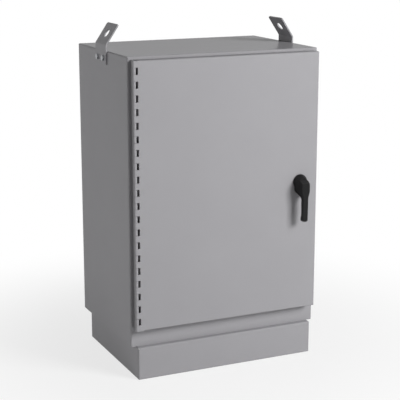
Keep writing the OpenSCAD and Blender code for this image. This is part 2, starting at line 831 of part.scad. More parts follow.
// Smooth step from 0 to 1
function ease(t) = let (s = max(0, min(1, t))) s * s * (3 - 2 * s);

// Points on a round arc
function arc(x, y, r, from, to, step) = [for (a = [from:step:to]) [x + r * cos(a), y + r * sin(a)]];

// Half width of the lever at a height from the hub's axis
function lever_half(z) = let (neck = ease((-z - neck_from) / neck_len))
  (lever_head_w * (1 - neck) + lever_arm_w * neck) / 2;

// Back of the lever at that height, measured out from the door
function lever_back(z) = hub_back
  + (lever_reach - lever_t - hub_back) * ease((-z - back_from) / back_len)
  - foot_turn * ease((-z - foot_from) / foot_len);

// Black handle: conical hub with a lever that stands off the door and points down when latched
module handle_lever() {
  head_r = lever_head_w / 2;
  tip_half = lever_arm_w / 2 - tip_r;
  tip_z = tip_r - lever_len;
  edge_z = [for (i = [0:edge_n]) -head_drop + i * (tip_z + head_drop) / edge_n];
  side_z = [for (i = [0:side_n]) brow_top - i * (brow_top + lever_len) / side_n];
  color([0.05, 0.05, 0.05])
  translate([handle_x, face_y, handle_z])
  difference() {
    union() {
      rotate([90, 0, 0]) translate([0, 0, hub_back])
        cylinder(d1 = hub_d, d2 = hub_front_d, h = hub_reach - hub_back);
      intersection() {
        rotate([90, 0, 0]) linear_extrude(lever_reach + eps) polygon(concat(
          arc(0, -head_drop, head_r, 0, 180, 10),
          [for (z = edge_z) [-lever_half(z), z]],
          arc(-tip_half, tip_z, tip_r, 180, 270, 15),
          arc(tip_half, tip_z, tip_r, 270, 360, 15),
          [for (i = [edge_n:-1:0]) [lever_half(edge_z[i]), edge_z[i]]]
        ));
        translate([-head_r, 0, 0]) rotate([90, 0, 90]) linear_extrude(lever_head_w) polygon(concat(
          [[-brow_out, brow_top], [brow_round - lever_reach, brow_foot],
           [-lever_reach, brow_foot - 2 * brow_round], [-lever_reach, -sag_from],
           [sag - lever_reach, -lever_len]],
          [for (i = [side_n:-1:0]) [-lever_back(side_z[i]), side_z[i]]]
        ));
        translate([0, 0, -lever_len - eps]) linear_extrude(lever_len + brow_top + 2 * eps) polygon([
          [-head_r, -hub_back], [head_r, -hub_back],
          [lever_face_w / 2, -lever_reach], [-lever_face_w / 2, -lever_reach]
        ]);
      }
    }
    rotate([90, 0, 0]) cylinder(d = spindle_d + 2 * spindle_fit, h = socket_depth);
  }
}

// Spindle from the hub to the cam, with a turned-down end for the nut
module latch_spindle() {
  front = face_y - socket_depth + latch_gap;
  color([0.70, 0.70, 0.72])
  union() {
    rod_along_y(handle_x, front, handle_z, spindle_d, cam_y - front);
    rod_along_y(handle_x, cam_y - eps, handle_z, spindle_end_d,
                cam_t + washer_t + nut_h(spindle_end_d) + thread_out + eps);
  }
}

// Cam with two arms for the rods and a pawl behind the body's flange
module latch_cam() {
  arm_w = cam_pin_d + 2 * cam_arm_wall;
  color([0.72, 0.70, 0.62])
  translate([handle_x, cam_y + cam_t, handle_z]) rotate([90, 0, 0])
  linear_extrude(cam_t) difference() {
    union() {
      circle(d = spindle_d + 2 * cam_hub_wall);
      rotate(cam_start) square([2 * cam_r, arm_w], center = true);
      for (turn = [0, 180])
        rotate(cam_start + turn) translate([cam_r, 0]) circle(d = arm_w);
      translate([0, -pawl_w / 2]) square([open_x - handle_x + pawl_lap - pawl_w / 2, pawl_w]);
      translate([open_x - handle_x + pawl_lap - pawl_w / 2, 0]) circle(d = pawl_w);
    }
    circle(d = spindle_end_d);
    for (turn = [0, 180])
      rotate(cam_start + turn) translate([cam_r, 0]) circle(d = cam_pin_d);
  }
}

module cam_pins() {
  color([0.68, 0.68, 0.70])
  for (side = [-1, 1])
    rod_along_y(handle_x + side * cam_r * cos(cam_start), cam_y, handle_z + side * pin_rise,
                cam_pin_d, cam_t + latch_gap + rod_t + pin_out);
}

module cam_nut() {
  color([0.74, 0.74, 0.75])
  translate([handle_x, cam_y + cam_t, handle_z]) rotate([-90, 0, 0]) washered_nut(spindle_end_d);
}

// Upper latch rod: forked at the roller, slotted at the cam; the lower rod is the same turned over
module latch_rod(tip) {
  reach = tip - pin_rise;
  difference() {
    union() {
      box([-rod_w / 2, rod_y, 0], [rod_w / 2, rod_y + rod_t, reach + fork_depth - roller_d / 2]);
      box([-yoke_w / 2, rod_y, -yoke_h / 2], [yoke_w / 2, rod_y + rod_t, yoke_h / 2]);
    }
    translate([0, rod_y - eps, 0]) rotate([-90, 0, 0]) linear_extrude(rod_t + 2 * eps)
      round_rect(yoke_slot_w, yoke_slot_h, (yoke_slot_h - slot_flat) / 2);
    box([-fork_w / 2, rod_y - eps, reach - fork_depth],
        [fork_w / 2, rod_y + rod_t + eps, reach + fork_depth]);
    rod_along_x(-rod_w / 2 - eps, roller_y, reach, axle_d, rod_w + 2 * eps);
  }
}

module at_upper_rod() {
  translate([handle_x + rod_x, 0, handle_z + pin_rise]) children();
}

module at_lower_rod() {
  translate([handle_x - rod_x, 0, handle_z - pin_rise]) mirror([0, 0, 1]) children();
}

module axle(tip) {
  rod_along_x(-rod_w / 2, roller_y, tip - pin_rise, axle_d, rod_w);
}

module roller(tip) {
  translate([-roller_w / 2, roller_y, tip - pin_rise]) rotate([0, 90, 0]) difference() {
    cylinder(d = roller_d, h = roller_w);
    translate([0, 0, -eps]) cylinder(d = axle_d + 2 * pin_fit, h = roller_w + 2 * eps);
  }
}

module upper_rod() {
  color([0.72, 0.72, 0.74]) at_upper_rod() latch_rod(upper_tip);
}

module upper_axle() {
  color([0.66, 0.66, 0.68]) at_upper_rod() axle(upper_tip);
}

module upper_roller() {
  color([0.88, 0.88, 0.86]) at_upper_rod() roller(upper_tip);
}

module lower_rod() {
  color([0.72, 0.72, 0.74]) at_lower_rod() latch_rod(lower_tip);
}

module lower_axle() {
  color([0.66, 0.66, 0.68]) at_lower_rod() axle(lower_tip);
}

module lower_roller() {
  color([0.88, 0.88, 0.86]) at_lower_rod() roller(lower_tip);
}

body_shell();
plinth();
plinth_bolts();
plinth_nuts();
gland_plate();
gland_seal();
gland_screws();
gland_nuts();
mounting_panel();
panel_studs();
panel_nuts();
earth_stud();
earth_nuts();
lifting_eye_left();
lifting_eye_right();
lifting_eye_bolts();
lifting_eye_nuts();
hinge_body_leaf();
hinge_pin();
door_skin();
door_stile();
hinge_door_leaf();
door_seal();
latch_channel();
rod_guides();
guide_screws();
handle_rose();
rose_nut();
print_pocket();
door_earth_stud();
handle_lever();
latch_spindle();
latch_cam();
cam_pins();
cam_nut();
upper_rod();
upper_axle();
upper_roller();
lower_rod();
lower_axle();
lower_roller();
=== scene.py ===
import math

import bpy
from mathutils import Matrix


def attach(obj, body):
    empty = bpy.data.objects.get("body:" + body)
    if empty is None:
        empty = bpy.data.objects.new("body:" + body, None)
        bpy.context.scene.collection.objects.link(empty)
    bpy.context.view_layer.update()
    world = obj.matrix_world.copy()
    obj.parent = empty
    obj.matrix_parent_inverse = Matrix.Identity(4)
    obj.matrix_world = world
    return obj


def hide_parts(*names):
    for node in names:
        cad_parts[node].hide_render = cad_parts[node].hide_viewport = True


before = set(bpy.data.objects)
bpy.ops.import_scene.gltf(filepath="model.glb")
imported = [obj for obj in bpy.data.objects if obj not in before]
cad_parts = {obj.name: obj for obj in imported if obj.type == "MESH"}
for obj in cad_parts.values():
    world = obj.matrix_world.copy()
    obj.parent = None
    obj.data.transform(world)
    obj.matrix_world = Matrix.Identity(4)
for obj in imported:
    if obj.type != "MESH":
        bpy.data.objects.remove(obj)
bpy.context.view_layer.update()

# Body shell and plinth. Steel sheet, folded, welded and ground flush, then sprayed with grey
# polyester powder and baked. The plinth is a separate folded frame that is bolted on below.

coat_pale = "#9D9C9F"
coat_deep = "#98979A"
cloud_mm = 220
peel_mm = 7
peel_depth = 0.0006
skin_share = 0.32
skin_dull = 0.18
skin_bright = 0.12


def linear(code):
    """Linear colour of an sRGB hex value."""
    channels = [int(code[i:i + 2], 16) / 255 for i in (1, 3, 5)]
    return (*[c / 12.92 if c <= 0.04045 else ((c + 0.055) / 1.055) ** 2.4 for c in channels], 1)


def add_node(tree, kind, sockets=None, **settings):
    """Adds a node. A socket takes a value, or a link given as (node, output name)."""
    node = tree.nodes.new(kind)
    for name, value in settings.items():
        setattr(node, name, value)
    for name, value in (sockets or {}).items():
        if isinstance(value, tuple) and isinstance(value[0], bpy.types.Node):
            tree.links.new(value[0].outputs[value[1]], node.inputs[name])
        else:
            node.inputs[name].default_value = value
    return node


def start_material(name):
    """Empty finish with its shader and the coordinates of the piece."""
    finish = bpy.data.materials.new(name)
    finish.use_nodes = True
    tree = finish.node_tree
    return finish, tree, tree.nodes["Principled BSDF"], add_node(tree, "ShaderNodeTexCoord")


def powder_coat(name, pale, deep, roughness):
    """Baked powder: matt colour under a thin shiny skin, with faint clouds and an orange peel.

    The skin picks up the pale room at a flat angle. Real orange peel is about 2 mm across, and is
    drawn at peel_mm so that it still shows.
    """
    finish, tree, shader, place = start_material(name)
    cloud = add_node(tree, "ShaderNodeTexNoise",
                     {"Vector": (place, "Object"), "Scale": 1000 / cloud_mm, "Detail": 3.0})
    tone = add_node(tree, "ShaderNodeMixRGB",
                    {"Fac": (cloud, "Fac"), "Color1": linear(deep), "Color2": linear(pale)})
    gloss = add_node(tree, "ShaderNodeMapRange",
                     {"Value": (cloud, "Fac"), "To Min": skin_bright, "To Max": skin_dull})
    peel = add_node(tree, "ShaderNodeTexNoise",
                    {"Vector": (place, "Object"), "Scale": 1000 / peel_mm, "Detail": 1.0})
    relief = add_node(tree, "ShaderNodeBump",
                      {"Height": (peel, "Fac"), "Strength": 0.12, "Distance": peel_depth})
    shader.inputs["Roughness"].default_value = roughness
    shader.inputs["Specular IOR Level"].default_value = 0.0
    shader.inputs["Coat Weight"].default_value = skin_share
    tree.links.new(tone.outputs["Color"], shader.inputs["Base Color"])
    tree.links.new(gloss.outputs["Result"], shader.inputs["Coat Roughness"])
    tree.links.new(relief.outputs["Normal"], shader.inputs["Normal"])
    return finish


def dress(finish, *nodes):
    """Gives CAD nodes their finish."""
    for node in nodes:
        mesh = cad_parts[node].data
        for index in range(len(mesh.materials)):
            mesh.materials[index] = finish


grey_coat = powder_coat("grey_powder_coat", coat_pale, coat_deep, 0.38)
dress(grey_coat, "body_shell", "plinth")

# Plinth bolts and nuts. Zinc-plated hex bolts pass down through the body's floor into the plinth.
# Heads and nuts are cold formed with a chamfer, and the threads are rolled.

zinc_pale = "#A6A8AA"
zinc_deep = "#8A8C8F"
zinc_spangle_mm = 4
head_share = 0.65
nut_share = 0.8
flats_share = 1.6
chamfer_share = 0.94
chamfer_deg = 30
washer_mm = 2.0
thread_out_mm = 3.0
thread_in_mm = 1.0
thread_pitch_mm = {6: 1.0, 8: 1.25, 10: 1.5, 12: 1.75}
thread_depth = 0.6
thread_root = 0.1
run_out_mm = 0.2
sink_mm = 0.5
nut_sink_mm = 0.1
drill_mm = 1
plinth_bolt_mm = 10
plinth_stack_mm = 5
plinth_bolt_x = 0.336
plinth_bolt_y = (-0.1385, 0.1815)
floor_top = 0.127
plinth_under = 0.122

mm = 0.001


def bright_zinc(name):
    """Zinc plate: pale grey metal, dulled in fine blotches by the bath."""
    finish, tree, shader, place = start_material(name)
    blotch = add_node(tree, "ShaderNodeTexNoise",
                      {"Vector": (place, "Object"), "Scale": 1000 / zinc_spangle_mm, "Detail": 2.0})
    tone = add_node(tree, "ShaderNodeMixRGB",
                    {"Fac": (blotch, "Fac"), "Color1": linear(zinc_deep), "Color2": linear(zinc_pale)})
    gloss = add_node(tree, "ShaderNodeMapRange",
                     {"Value": (blotch, "Fac"), "To Min": 0.30, "To Max": 0.48})
    shader.inputs["Metallic"].default_value = 1.0
    tree.links.new(tone.outputs["Color"], shader.inputs["Base Color"])
    tree.links.new(gloss.outputs["Result"], shader.inputs["Roughness"])
    return finish


def pick(piece):
    """Selects one piece alone and makes it the active one."""
    bpy.ops.object.select_all(action="DESELECT")
    piece.select_set(True)
    bpy.context.view_layer.objects.active = piece


def settle(piece):
    """Moves a piece's place, turn and size into its mesh."""
    pick(piece)
    bpy.ops.object.transform_apply(location=True, rotation=True, scale=True)
    return piece


def turned(profile, segments=32):
    """Round solid about Z: a disc is extruded and resized through (radius, height) in mm."""
    bpy.ops.object.select_all(action="DESELECT")
    bpy.ops.mesh.primitive_circle_add(vertices=segments, radius=profile[0][0] * mm,
                                      fill_type="NGON", location=(0, 0, profile[0][1] * mm))
    piece = settle(bpy.context.object)
    bpy.ops.object.mode_set(mode="EDIT")
    bpy.ops.mesh.select_all(action="SELECT")
    for (radius, height), (next_radius, next_height) in zip(profile, profile[1:]):
        bpy.ops.mesh.extrude_region_move(
            TRANSFORM_OT_translate={"value": (0, 0, (next_height - height) * mm)})
        if next_radius != radius:
            share = next_radius / radius
            bpy.ops.transform.resize(value=(share, share, 1), center_override=(0, 0, next_height * mm))
    bpy.ops.mesh.select_all(action="SELECT")
    bpy.ops.mesh.normals_make_consistent(inside=False)
    bpy.ops.object.mode_set(mode="OBJECT")
    return piece


def combine(piece, tool, operation):
    """Joins, cuts or trims a solid with another one, which is used up."""
    pick(piece)
    step = piece.modifiers.new("combine", "BOOLEAN")
    step.operation = operation
    step.object = tool
    step.solver = "EXACT"
    bpy.ops.object.modifier_apply(modifier=step.name)
    bpy.data.objects.remove(tool, do_unlink=True)
    return piece


def hexagon(flats, low, high, chamfer_low):
    """Hex blank whose corners are turned off at a slope on one or both ends."""
    corner = flats / 2 / math.cos(math.pi / 6)
    face = chamfer_share * flats / 2
    drop = (corner - face) * math.tan(math.radians(chamfer_deg))
    bpy.ops.object.select_all(action="DESELECT")
    bpy.ops.mesh.primitive_cylinder_add(vertices=6, radius=corner * mm, depth=(high - low) * mm,
                                        location=(0, 0, (low + high) / 2 * mm))
    blank = settle(bpy.context.object)
    start = [(face, low), (corner, low + drop)] if chamfer_low else [(corner, low)]
    return combine(blank, turned(start + [(corner, high - drop), (face, high)], 48), "INTERSECT")


def thread(size, low, high):
    """Rings of a rolled thread between two heights, with a turned-off tip at the low end."""
    pitch = thread_pitch_mm[size]
    crest, root = size / 2, size / 2 - thread_depth * pitch
    rings = [(root, low), (crest, low + thread_depth * pitch)]
    for turn in range(int((high - low) / pitch) - 1):
        foot = low + (turn + 1) * pitch
        rings += [(root, foot + thread_root * pitch), (crest, foot + thread_depth * pitch)]
    return rings


def hex_bolt(size, clamped):
    """Bolt with its head above z = 0, and thread for a washer and a nut below what it clamps."""
    end = clamped + washer_mm + nut_share * size + thread_out_mm
    shank = thread(size, -end, thread_in_mm - clamped)
    shank += [(size / 2, thread_in_mm + run_out_mm - clamped), (size / 2, sink_mm)]
    head = hexagon(flats_share * size, 0, head_share * size, False)
    return combine(head, turned(shank), "UNION")


def hex_nut(size):
    """Nut on its washer, standing on z = 0."""
    washer = turned([(size, 0), (size, washer_mm)], 40)
    top = washer_mm + nut_share * size
    nut = combine(hexagon(flats_share * size, washer_mm - nut_sink_mm, top, True), washer, "UNION")
    bore = size / 2 - thread_depth / 2 * thread_pitch_mm[size]
    return combine(nut, turned([(bore, -drill_mm), (bore, top + drill_mm)], 24), "DIFFERENCE")


def place_copies(master, name, places):
    """Copies a piece to each (location, turn), joins the copies and drops the master."""
    copies = []
    for location, turn in places:
        pick(master)
        bpy.ops.object.duplicate(linked=False)
        copy = bpy.context.object
        copy.location = location
        copy.rotation_euler = turn
        copies.append(settle(copy))
    bpy.data.objects.remove(master, do_unlink=True)
    pick(copies[0])
    for copy in copies:
        copy.select_set(True)
    if len(copies) > 1:
        bpy.ops.object.join()
    copies[0].name = name
    return copies[0]


def stand_for(piece, node, body, finish, smooth_deg=35):
    """Finishes a new piece and lets it stand for its CAD node."""
    pick(piece)
    bpy.ops.object.shade_smooth_by_angle(angle=math.radians(smooth_deg))
    piece.data.materials.clear()
    piece.data.materials.append(finish)
    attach(piece, body)
    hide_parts(node)


zinc = bright_zinc("bright_zinc_plate")
upright, upside_down = (0, 0, 0), (math.pi, 0, 0)
plinth_bolt_spots = [(x, y) for x in (-plinth_bolt_x, plinth_bolt_x) for y in plinth_bolt_y]
plinth_bolts = place_copies(hex_bolt(plinth_bolt_mm, plinth_stack_mm), "plinth_hex_bolts",
                            [((x, y, floor_top), upright) for x, y in plinth_bolt_spots])
stand_for(plinth_bolts, "plinth_bolts", "cabinet", zinc)
plinth_nuts = place_copies(hex_nut(plinth_bolt_mm), "plinth_hex_nuts",
                           [((x, y, plinth_under), upside_down) for x, y in plinth_bolt_spots])
stand_for(plinth_nuts, "plinth_nuts", "cabinet", zinc)

# Cable entry. A plain painted steel plate covers the hole in the floor, on a foam seal.
# Six hex screws hold it, so that an installer can take it out and punch it for glands.

gland_screw_mm = 6
gland_stack_mm = 7.5
gland_x = (-0.2075, 0, 0.2075)
gland_y = (-0.086, 0.129)
gland_top = 0.1325
floor_under = 0.125
foam_black = "#1B1B1C"
foam_grey = "#2A2A2B"
cell_mm = 3


def foam_rubber(name):
    """Closed-cell foam: matt black with small open pores. The 1 mm cells are drawn at cell_mm."""
    finish, tree, shader, place = start_material(name)
    cells = add_node(tree, "ShaderNodeTexVoronoi",
                     {"Vector": (place, "Object"), "Scale": 1000 / cell_mm})
    tone = add_node(tree, "ShaderNodeMixRGB",
                    {"Fac": (cells, "Distance"), "Color1": linear(foam_black),
                     "Color2": linear(foam_grey)})
    relief = add_node(tree, "ShaderNodeBump",
                      {"Height": (cells, "Distance"), "Strength": 0.35, "Distance": 0.0008})
    shader.inputs["Roughness"].default_value = 0.92
    tree.links.new(tone.outputs["Color"], shader.inputs["Base Color"])
    tree.links.new(relief.outputs["Normal"], shader.inputs["Normal"])
    return finish


foam = foam_rubber("closed_cell_foam")
dress(foam, "gland_seal")
dress(grey_coat, "gland_plate")
gland_spots = [(x, y) for x in gland_x for y in gland_y]
gland_screws = place_copies(hex_bolt(gland_screw_mm, gland_stack_mm), "gland_hex_screws",
                            [((x, y, gland_top), upright) for x, y in gland_spots])
stand_for(gland_screws, "gland_screws", "cabinet", zinc)
gland_nuts = place_copies(hex_nut(gland_screw_mm), "gland_hex_nuts",
                          [((x, y, floor_under), upside_down) for x, y in gland_spots])
stand_for(gland_nuts, "gland_nuts", "cabinet", zinc)

# Mounting panel. A white powder-coated plate with folded sides carries the equipment.
# It hangs on four collar studs, which are welded to the back wall, and is held by nuts.

panel_pale = "#EDEDEA"
panel_deep = "#E6E6E3"
stud_mm = 10
collar_mm = 24
collar_edge_mm = 1
stud_neck_mm = 1
standoff_mm = 20
panel_mm = 3
stud_x = 0.280
stud_z = (0.2895, 1.0895)
wall_in = 0.277

white_coat = powder_coat("white_powder_coat", panel_pale, panel_deep, 0.42)
dress(white_coat, "mounting_panel")
towards_door = (math.pi / 2, 0, 0)
stud_spots = [(x, z) for x in (-stud_x, stud_x) for z in stud_z]
stud_end = standoff_mm + panel_mm + washer_mm + nut_share * stud_mm + thread_out_mm
collar_r, collar_end_r = collar_mm / 2, collar_mm / 2 - collar_edge_mm
stud_profile = [(collar_end_r, 0), (collar_r, collar_edge_mm), (collar_r, standoff_mm - collar_edge_mm),
                (collar_end_r, standoff_mm), (stud_mm / 2, standoff_mm)]
stud_thread_mm = stud_end - standoff_mm - stud_neck_mm
stud_profile += [(radius, stud_end - height)
                 for radius, height in reversed(thread(stud_mm, 0, stud_thread_mm))]
panel_studs = place_copies(turned(stud_profile), "panel_collar_studs",
                           [((x, wall_in, z), towards_door) for x, z in stud_spots])
stand_for(panel_studs, "panel_studs", "cabinet", zinc)
panel_nuts = place_copies(
    hex_nut(stud_mm), "panel_hex_nuts",
    [((x, wall_in - (standoff_mm + panel_mm) * mm, z), towards_door) for x, z in stud_spots])
stand_for(panel_nuts, "panel_nuts", "cabinet", zinc)

# Earth studs. Brass studs on the back wall and on the door take the bonding wires.
# They are turned from bar with a rolled thread, and a hex nut clamps the lug.

brass_pale = "#D0AE66"
brass_deep = "#B38F4B"
tarnish_mm = 4
earth_x = -0.291
earth_z = 0.185
earth_len_mm = 30


def turned_brass(name):
    """Brass bar: warm yellow metal with a light tarnish in blotches."""
    finish, tree, shader, place = start_material(name)
    tarnish = add_node(tree, "ShaderNodeTexNoise",
                       {"Vector": (place, "Object"), "Scale": 1000 / tarnish_mm, "Detail": 3.0})
    tone = add_node(tree, "ShaderNodeMixRGB",
                    {"Fac": (tarnish, "Fac"), "Color1": linear(brass_deep),
                     "Color2": linear(brass_pale)})
    gloss = add_node(tree, "ShaderNodeMapRange",
                     {"Value": (tarnish, "Fac"), "To Min": 0.24, "To Max": 0.42})
    shader.inputs["Metallic"].default_value = 1.0
    tree.links.new(tone.outputs["Color"], shader.inputs["Base Color"])
    tree.links.new(gloss.outputs["Result"], shader.inputs["Roughness"])
    return finish


brass = turned_brass("turned_brass")
dress(brass, "door_earth_stud")
earth_profile = [(stud_mm / 2, 0), (stud_mm / 2, stud_neck_mm)]
earth_profile += [(radius, earth_len_mm - height)
                  for radius, height in reversed(thread(stud_mm, 0, earth_len_mm - 2 * stud_neck_mm))]
earth_stud = place_copies(turned(earth_profile), "earth_threaded_stud",
                          [((earth_x, wall_in, earth_z), towards_door)])
stand_for(earth_stud, "earth_stud", "cabinet", brass)
earth_nut = place_copies(hex_nut(stud_mm), "earth_hex_nut",
                         [((earth_x, wall_in, earth_z), towards_door)])
stand_for(earth_nut, "earth_nuts", "cabinet", brass)

# Lifting straps. Thick steel strap, bent inwards over the roof and drilled for a hook, in the
# body's own coat. Each is held on the side wall by two plated hex bolts with nuts inside.

eye_bolt_mm = 12
eye_stack_mm = 7
eye_bolt_x = 0.386
wall_in_x = 0.379
eye_bolt_y = (-0.0145, 0.0435)
eye_bolt_z = 1.166

dress(grey_coat, "lifting_eye_left", "lifting_eye_right")
facing_left, facing_right = (0, -math.pi / 2, 0), (0, math.pi / 2, 0)
eye_bolts = place_copies(
    hex_bolt(eye_bolt_mm, eye_stack_mm), "lifting_hex_bolts",
    [((side * eye_bolt_x, y, eye_bolt_z), facing_right if side > 0 else facing_left)
     for side in (-1, 1) for y in eye_bolt_y])
stand_for(eye_bolts, "lifting_eye_bolts", "cabinet", zinc)
eye_nuts = place_copies(
    hex_nut(eye_bolt_mm), "lifting_hex_nuts",
    [((side * wall_in_x, y, eye_bolt_z), facing_left if side > 0 else facing_right)
     for side in (-1, 1) for y in eye_bolt_y])
stand_for(eye_nuts, "lifting_eye_nuts", "cabinet", zinc)

# Continuous hinge. Two rolled leaves with 41 knuckles turn on one long plated pin.
# One leaf is welded to the body's front and the other to the door, and both are painted.

dress(grey_coat, "hinge_body_leaf", "hinge_door_leaf")
dress(zinc, "hinge_pin")

# Door. A folded pan with a stile along its hinge edge, and a channel behind the latch side.
# All of it is welded up and gets the same baked coat as the body.

dress(grey_coat, "door_skin", "door_stile", "latch_channel")

# Door seal. A bead of foam is poured on the door's inside, in one closed ring, and rises with a
# round crown. The body's lip presses into it when the latch pulls the door home.

seal_low = (-0.3355, 0.2325)
seal_high = (0.3355, 1.1465)
seal_w = 0.011
seal_back = -0.277
seal_rise = 0.0127
seal_crown = 0.0045
same_spot = 1e-5


def select_where(piece, kind, test):
    """Selects, in edit mode, the edges whose ends, or other items whose middle, pass the test."""
    bpy.ops.object.mode_set(mode="EDIT")
    bpy.ops.mesh.select_mode(type=kind)
    bpy.ops.mesh.select_all(action="DESELECT")
    bpy.ops.object.mode_set(mode="OBJECT")
    mesh = piece.data
    items = {"VERT": mesh.vertices, "EDGE": mesh.edges, "FACE": mesh.polygons}[kind]
    for item in items:
        corners = [item.index] if kind == "VERT" else item.vertices
        points = [mesh.vertices[corner].co for corner in corners]
        middle = sum(points, points[0] * 0) / len(points)
        item.select = test(*points) if kind == "EDGE" else test(middle)
    bpy.ops.object.mode_set(mode="EDIT")


bpy.ops.object.select_all(action="DESELECT")
bpy.ops.mesh.primitive_plane_add(
    size=1, rotation=(math.pi / 2, 0, 0),
    location=((seal_low[0] + seal_high[0]) / 2, seal_back, (seal_low[1] + seal_high[1]) / 2))
seal = bpy.context.object
seal.name = "door_foam_seal"
seal.scale = (seal_high[0] - seal_low[0], seal_high[1] - seal_low[1], 1)
settle(seal)
bpy.ops.object.mode_set(mode="EDIT")
bpy.ops.mesh.select_mode(type="FACE")
bpy.ops.mesh.select_all(action="SELECT")
bpy.ops.mesh.inset(thickness=seal_w, depth=0)
bpy.ops.mesh.delete(type="FACE")
bpy.ops.mesh.select_all(action="SELECT")
bpy.ops.mesh.extrude_region_move(TRANSFORM_OT_translate={"value": (0, seal_rise, 0)})
bpy.ops.object.mode_set(mode="OBJECT")
select_where(seal, "EDGE", lambda a, b: (
    min(a.y, b.y) > seal_back + seal_rise / 2 and (a.x == b.x or a.z == b.z)))
bpy.ops.mesh.bevel(offset=seal_crown, segments=4, profile=0.5)
bpy.ops.mesh.select_all(action="SELECT")
bpy.ops.mesh.remove_doubles(threshold=same_spot)
bpy.ops.mesh.normals_make_consistent(inside=False)
bpy.ops.object.mode_set(mode="OBJECT")
stand_for(seal, "door_seal", "door", foam, 50)

# Print pocket. Grey polystyrene sheet, vacuum formed into a shallow tray that is open at the top
# and taped to the door's inside. Its corners are drawn round, as the forming leaves them.

pocket_low = (-0.19825, -0.277, 0.4965)
pocket_high = (0.10175, -0.247, 0.7765)
pocket_wall = 0.002
pocket_corner = 0.012
pocket_near = 1e-4
plastic_pale = "#C6C7C4"
plastic_deep = "#BEBFBC"
grain_mm = 4
grain_gloss = 0.06


def formed_plastic(name, pale, deep, roughness):
    """Plastic with a light moulded grain, a little glossier on the high spots.

    The grain of about 1 mm is drawn at grain_mm so that it still shows.
    """
    finish, tree, shader, place = start_material(name)
    grain = add_node(tree, "ShaderNodeTexNoise",
                     {"Vector": (place, "Object"), "Scale": 1000 / grain_mm, "Detail": 2.0})
    tone = add_node(tree, "ShaderNodeMixRGB",
                    {"Fac": (grain, "Fac"), "Color1": linear(deep), "Color2": linear(pale)})
    gloss = add_node(tree, "ShaderNodeMapRange",
                     {"Value": (grain, "Fac"), "To Min": roughness + grain_gloss,
                      "To Max": roughness - grain_gloss})
    relief = add_node(tree, "ShaderNodeBump",
                      {"Height": (grain, "Fac"), "Strength": 0.15, "Distance": 0.0005})
    tree.links.new(tone.outputs["Color"], shader.inputs["Base Color"])
    tree.links.new(gloss.outputs["Result"], shader.inputs["Roughness"])
    tree.links.new(relief.outputs["Normal"], shader.inputs["Normal"])
    return finish


bpy.ops.object.select_all(action="DESELECT")
bpy.ops.mesh.primitive_cube_add(
    size=1, location=[(low + high) / 2 for low, high in zip(pocket_low, pocket_high)])
pocket = bpy.context.object
pocket.name = "formed_print_pocket"
pocket.scale = [high - low for low, high in zip(pocket_low, pocket_high)]
settle(pocket)
select_where(pocket, "FACE", lambda middle: middle.z > pocket_high[2] - pocket_near)
bpy.ops.mesh.delete(type="FACE")
bpy.ops.object.mode_set(mode="OBJECT")
select_where(pocket, "EDGE", lambda a, b: (
    (a.x == b.x and a.y == b.y and a.y > pocket_high[1] - pocket_near)
    or max(a.z, b.z) < pocket_low[2] + pocket_near and not a.y == b.y == pocket_low[1]))
bpy.ops.mesh.bevel(offset=pocket_corner, segments=5, profile=0.5)
bpy.ops.mesh.select_all(action="SELECT")
bpy.ops.mesh.normals_make_consistent(inside=False)
bpy.ops.object.mode_set(mode="OBJECT")
wall = pocket.modifiers.new("wall", "SOLIDIFY")
wall.thickness = pocket_wall
wall.offset = -1
bpy.ops.object.modifier_apply(modifier=wall.name)
pocket_grey = formed_plastic("formed_polystyrene", plastic_pale, plastic_deep, 0.45)
stand_for(pocket, "print_pocket", "door", pocket_grey, 40)

# Three-point latch. A plated cam on the spindle has a pawl for the body's flange, and drives an
# upper and a lower flat rod in nylon guides. A nylon roller on each rod runs behind the flange.

nylon_black = ("#1E1E1F", "#161617")
nylon_white = ("#E4E2DA", "#DAD8D0")
roller_mm = 18
roller_w_mm = 7.4
axle_bore_mm = 5.1
roller_round_mm = 1.5
round_share = 0.3
roller_y = -0.2244
upper_roller_spot = (0.312485, roller_y, 1.150)
lower_roller_spot = (0.271515, roller_y, 0.229)
cam_nut_mm = 8
cam_back = -0.2282
handle_x, handle_z = 0.292, 0.6965

dress(zinc, "latch_spindle", "latch_cam", "cam_pins", "upper_rod", "upper_axle", "lower_rod",
      "lower_axle", "guide_screws", "rose_nut")
dress(formed_plastic("black_nylon", *nylon_black, 0.5), "rod_guides")
white_nylon = formed_plastic("white_nylon", *nylon_white, 0.45)
away_from_door = (-math.pi / 2, 0, 0)
cam_nut = place_copies(hex_nut(cam_nut_mm), "cam_hex_nut",
                       [((handle_x, cam_back, handle_z), away_from_door)])
stand_for(cam_nut, "cam_nut", "handle", zinc)
for name, spot, node, body in (
        ("upper_latch_roller", upper_roller_spot, "upper_roller", "upper_wheel"),
        ("lower_latch_roller", lower_roller_spot, "lower_roller", "lower_wheel")):
    half, outer, edge = roller_w_mm / 2, roller_mm / 2, roller_round_mm
    mid_edge = round_share * edge
    rim = [(outer - edge, half), (outer - mid_edge, half - mid_edge), (outer, half - edge)]
    blank = turned([(radius, -height) for radius, height in rim] + rim[::-1], 48)
    bore = turned([(axle_bore_mm / 2, -half - drill_mm), (axle_bore_mm / 2, half + drill_mm)], 32)
    roller = place_copies(combine(blank, bore, "DIFFERENCE"), name, [(spot, facing_right)])
    stand_for(roller, node, body, white_nylon)

# Handle. A die-cast lever in black powder coat: a conical hub on the fixed rose, and a deep head
# that tapers to its front, breaks into a brow above, and runs down into a slim arm with a foot.

handle_pale = "#121213"
handle_deep = "#0C0C0D"
casting_mm = 5
door_face = -0.279
# Radius of the hub, and its place out from the door, in mm
hub_profile = ((27, 4.4), (28, 5.4), (27.6, 7), (19.4, 24), (18.4, 25.5), (17, 26))
bore_r_mm = 8.06
bore_end_mm = 21
